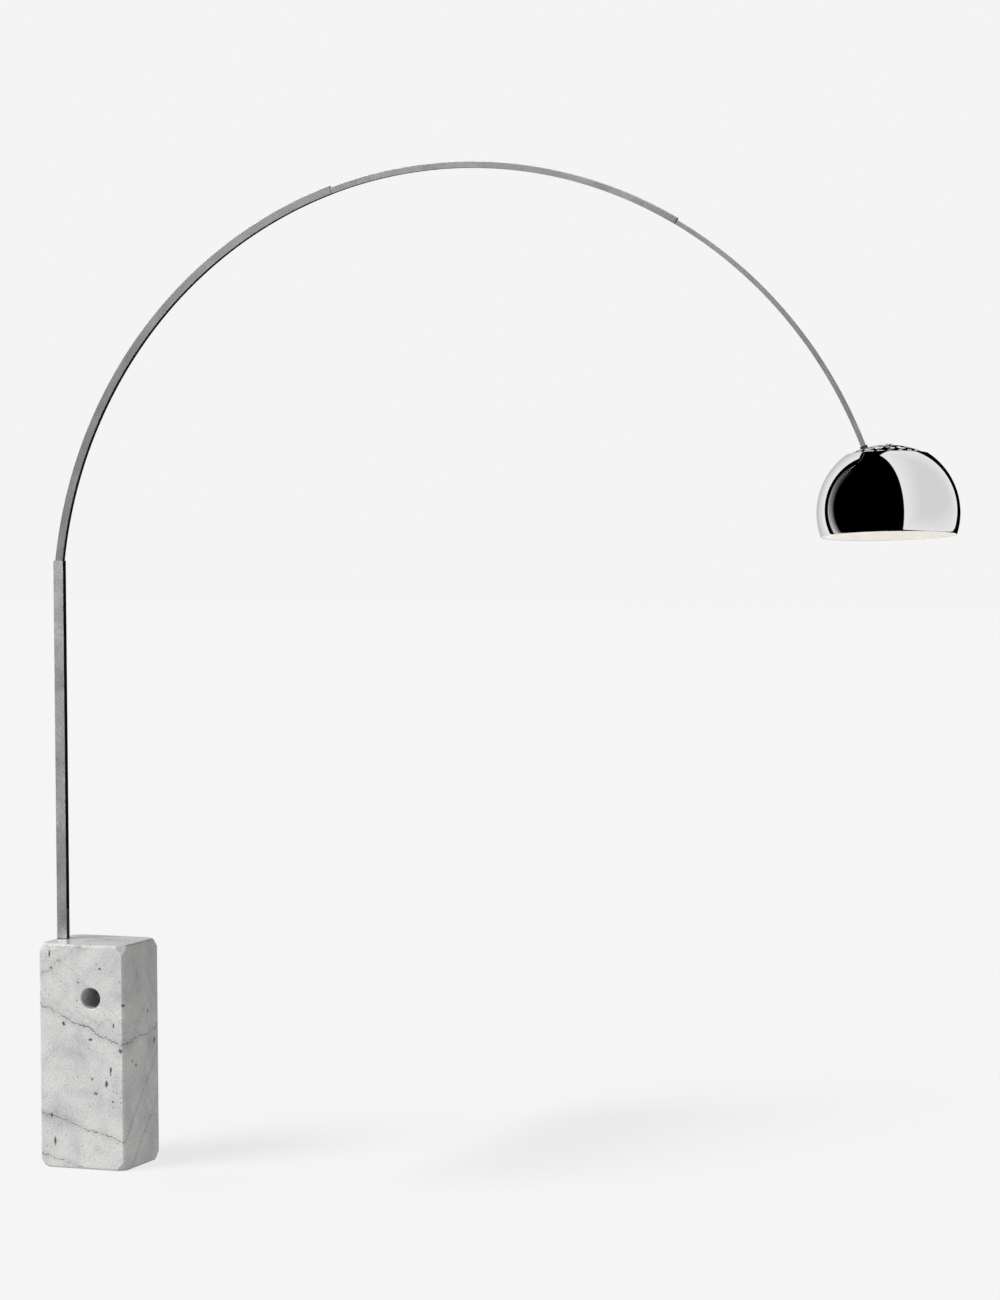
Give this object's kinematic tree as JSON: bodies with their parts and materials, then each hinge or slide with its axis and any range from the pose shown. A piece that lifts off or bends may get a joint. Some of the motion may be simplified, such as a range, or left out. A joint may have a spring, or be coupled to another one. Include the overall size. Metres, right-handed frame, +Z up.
{
  "type": "arc floor lamp",
  "caption": "Floor lamp with a marble block, a steel upright and a telescoping arc that hangs a tilting round bowl shade far out to one side.",
  "frame": {"origin": "centre of the marble block's flat underside, on the floor", "axes": "+X from the upright towards the shade, +Z up, +Y completes the right hand: the arc lies in the XZ plane"},
  "size_m": [2.249, 0.3198, 2.3955],
  "materials": {
    "marble": "polished white marble with grey veins",
    "satin_steel": "satin stainless steel",
    "zinc_steel": "bright zinc plating",
    "polished_aluminium": "mirror-polished spun aluminium, white enamel inside",
    "black_nylon": "moulded black nylon",
    "black_rubber": "moulded black rubber",
    "black_lead": "smooth black cable sheath",
    "felt": "pressed grey felt",
    "brass": "plain turned brass",
    "opal_glass": "frosted bulb glass"
  },
  "bodies": {
    "base": {"arc_foot_nut_plate": "zinc_steel", "arc_foot_screw_1": "zinc_steel", "arc_foot_screw_2": "zinc_steel", "arc_lower": "satin_steel", "foot_block": "zinc_steel", "foot_gasket": "black_rubber", "foot_screw_1": "zinc_steel", "foot_screw_2": "zinc_steel", "lead_foot": "black_lead", "lead_lower": "black_lead", "lead_lower_slack": "black_lead", "lead_upright": "black_lead", "lower_clamp_nut": "zinc_steel", "lower_clamp_screw": "zinc_steel", "lower_mouth_guide": "black_nylon", "marble_block": "marble", "outlet_grommet": "black_rubber", "tie_nut": "zinc_steel", "tie_rod": "zinc_steel", "tie_washer": "zinc_steel", "upright_channel": "satin_steel", "upright_top_wedge": "black_nylon"},
    "middle_arm": {"arc_middle": "satin_steel", "middle_tail_shoe": "black_nylon", "middle_tail_rivet": "zinc_steel", "middle_mouth_guide": "black_nylon", "middle_clamp_screw": "zinc_steel", "middle_clamp_nut": "zinc_steel", "lead_middle": "black_lead", "lead_middle_slack": "black_lead"},
    "end_arm": {"arc_end": "satin_steel", "end_tail_shoe": "black_nylon", "end_tail_rivet": "zinc_steel", "head_bracket": "zinc_steel", "bracket_rivet_1": "zinc_steel", "bracket_rivet_2": "zinc_steel", "perforated_cap": "polished_aluminium", "arm_grommet": "black_rubber", "cap_nut": "zinc_steel", "head_nipple": "brass", "nipple_lock_nut": "brass", "lampholder_body": "black_nylon", "lampholder_ring": "black_nylon", "bulb_cap": "brass", "bulb_glass": "opal_glass", "lead_end": "black_lead", "lead_head": "black_lead"},
    "seat": {"seat_ring": "felt"},
    "shade": {"shade_bowl": "polished_aluminium"}
  },
  "joints": [
    {"name": "middle_slide", "type": "hinge", "parent": "base", "child": "middle_arm", "pos_m": [0.948, 0, 1.3405], "axis": [0, -1, 0], "range_deg": [0, 15], "deforming": ["lead_lower_slack"]},
    {"name": "end_slide", "type": "hinge", "parent": "middle_arm", "child": "end_arm", "pos_m": [0.948, 0, 1.3405], "axis": [0, -1, 0], "range_deg": [0, 15], "deforming": ["lead_middle_slack"]},
    {"name": "shade_roll", "type": "hinge", "parent": "end_arm", "child": "seat", "pos_m": [1.976, 0, 1.5785], "axis": [1, 0, 0], "range_deg": [-6, 12]},
    {"name": "shade_tilt", "type": "hinge", "parent": "seat", "child": "shade", "pos_m": [1.976, 0, 1.5785], "axis": [0, 1, 0], "range_deg": [-9, 9]}
  ]
}
